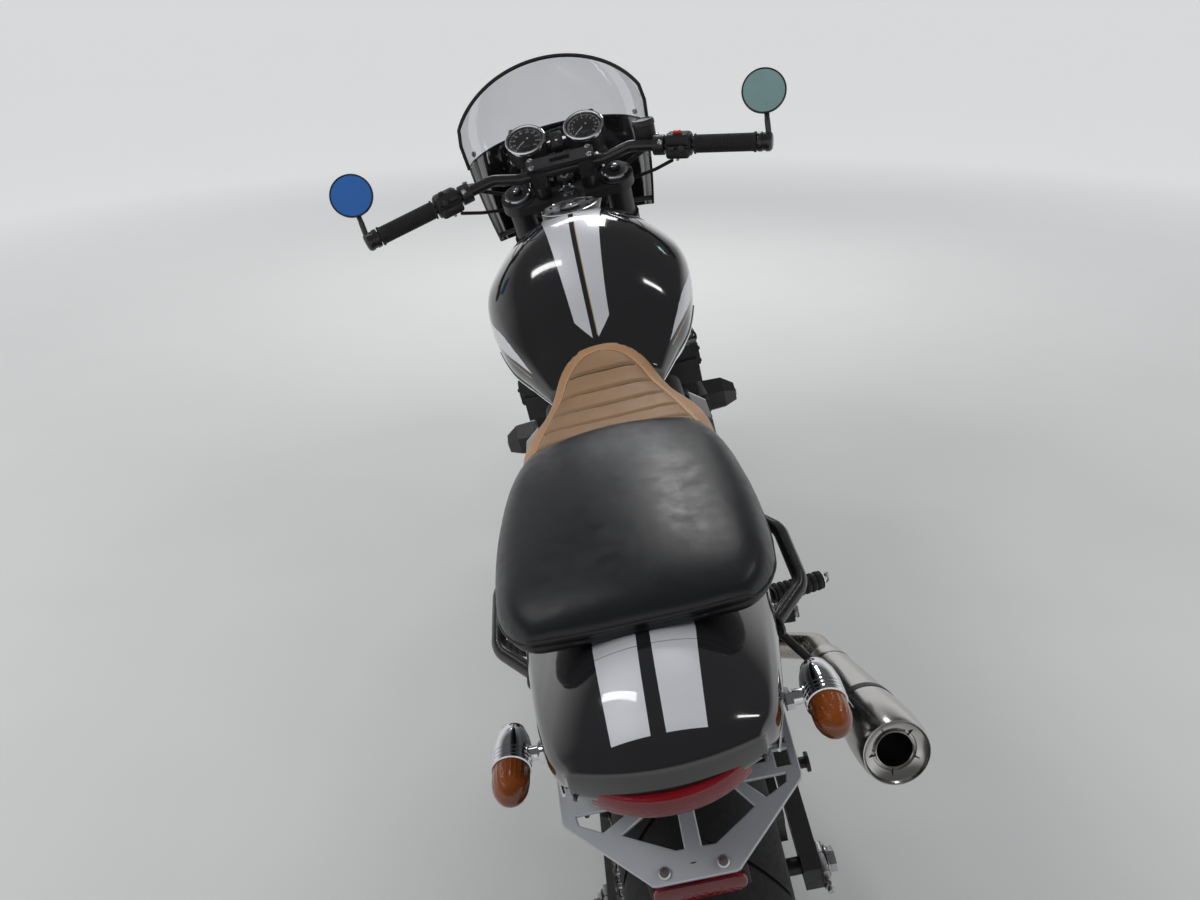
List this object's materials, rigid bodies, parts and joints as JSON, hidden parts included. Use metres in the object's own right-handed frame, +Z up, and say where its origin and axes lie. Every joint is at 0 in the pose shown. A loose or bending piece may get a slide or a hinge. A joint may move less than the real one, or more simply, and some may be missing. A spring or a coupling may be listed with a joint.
{
  "type": "cafe racer motorcycle",
  "caption": "Road motorcycle in cafe racer style with flyscreen, straight bars, brown saddle, pillion pad and side stand; wheels turn, steering swings, stand folds",
  "frame": {"origin": "on the floor under the middle of the whole machine's box, as it leans on its side stand", "axes": "+Y forward along the machine, +X to the rider's right, +Z up"},
  "size_m": [0.9097, 2.0449, 1.2057],
  "materials": {
    "amber_lens": "amber",
    "black_plastic": "moulded",
    "black_vinyl": "satin grain",
    "chrome": "polished",
    "disc_steel": "ground",
    "engine_black": "black coated casting",
    "gloss_black": "gloss black lacquer",
    "lamp_glass": "clear",
    "mirror_glass": "tinted mirror",
    "red_lens": "red",
    "rubber": "matte",
    "satin_black": "satin black",
    "silver_alloy": "brushed",
    "smoked_screen": "smoked clear",
    "stainless": "brushed stainless",
    "tan_leather": "semi matte",
    "tyre_rubber": "matte"
  },
  "bodies": {
    "chassis": {"main_frame": "satin_black", "subframe": "satin_black", "engine_case": "engine_black", "engine_top": "engine_black", "engine_covers": "engine_black", "intake": "black_plastic", "radiator": "black_plastic", "exhaust_headers": "stainless", "silencer": "stainless", "fuel_tank": "gloss_black", "fuel_cap": "gloss_black", "rider_seat": "tan_leather", "pillion_pad": "black_vinyl", "side_panels": "black_plastic", "tail_cowl": "gloss_black", "undertray": "black_plastic", "rear_lamps": "red_lens", "plate_bracket": "silver_alloy", "rear_indicators": "chrome", "grab_rails": "satin_black", "swingarm": "satin_black", "rear_shock": "satin_black", "drive_chain": "disc_steel", "rear_caliper": "satin_black", "rider_footrests": "satin_black", "rear_axle_and_pivot_bolt": "silver_alloy", "pillion_pegs": "satin_black", "frame_sliders": "black_plastic"},
    "front_end": {"yokes": "satin_black", "fork_legs": "satin_black", "lamp_stays": "satin_black", "handlebar": "satin_black", "grips": "rubber", "switchgear": "black_plastic", "levers": "satin_black", "mirrors": "satin_black", "gauges": "black_plastic", "headlamp": "lamp_glass", "cowl": "gloss_black", "windscreen": "smoked_screen", "front_mudguard": "gloss_black", "front_calipers": "satin_black", "front_axle": "silver_alloy", "front_indicators": "chrome", "control_cables": "rubber"},
    "front_wheel": {"front_rim": "satin_black", "front_tyre": "tyre_rubber", "front_discs": "disc_steel"},
    "rear_wheel": {"rear_rim": "satin_black", "rear_tyre": "tyre_rubber", "rear_disc_and_sprocket": "disc_steel"},
    "side_stand": {"side_stand": "satin_black"}
  },
  "joints": [
    {"name": "steering", "type": "hinge", "parent": "chassis", "child": "front_end", "pos_m": [0.01846, 0.40362, 0.88033], "axis": [-0.1884, -0.4226, 0.8865], "range_deg": [-33, 33]},
    {"name": "front_wheel_spin", "type": "hinge", "parent": "front_end", "child": "front_wheel", "pos_m": [0.14293, 0.7225, 0.29475], "axis": [0.9781, 0, 0.2079], "continuous": true},
    {"name": "rear_wheel_spin", "type": "hinge", "parent": "chassis", "child": "rear_wheel", "pos_m": [0.13967, -0.7075, 0.31013], "axis": [0.9781, 0, 0.2079], "continuous": true},
    {"name": "stand_fold", "type": "hinge", "parent": "chassis", "child": "side_stand", "pos_m": [0.02586, -0.0645, 0.20103], "axis": [0.9945, 0, -0.1045], "range_deg": [-95, 0]}
  ]
}
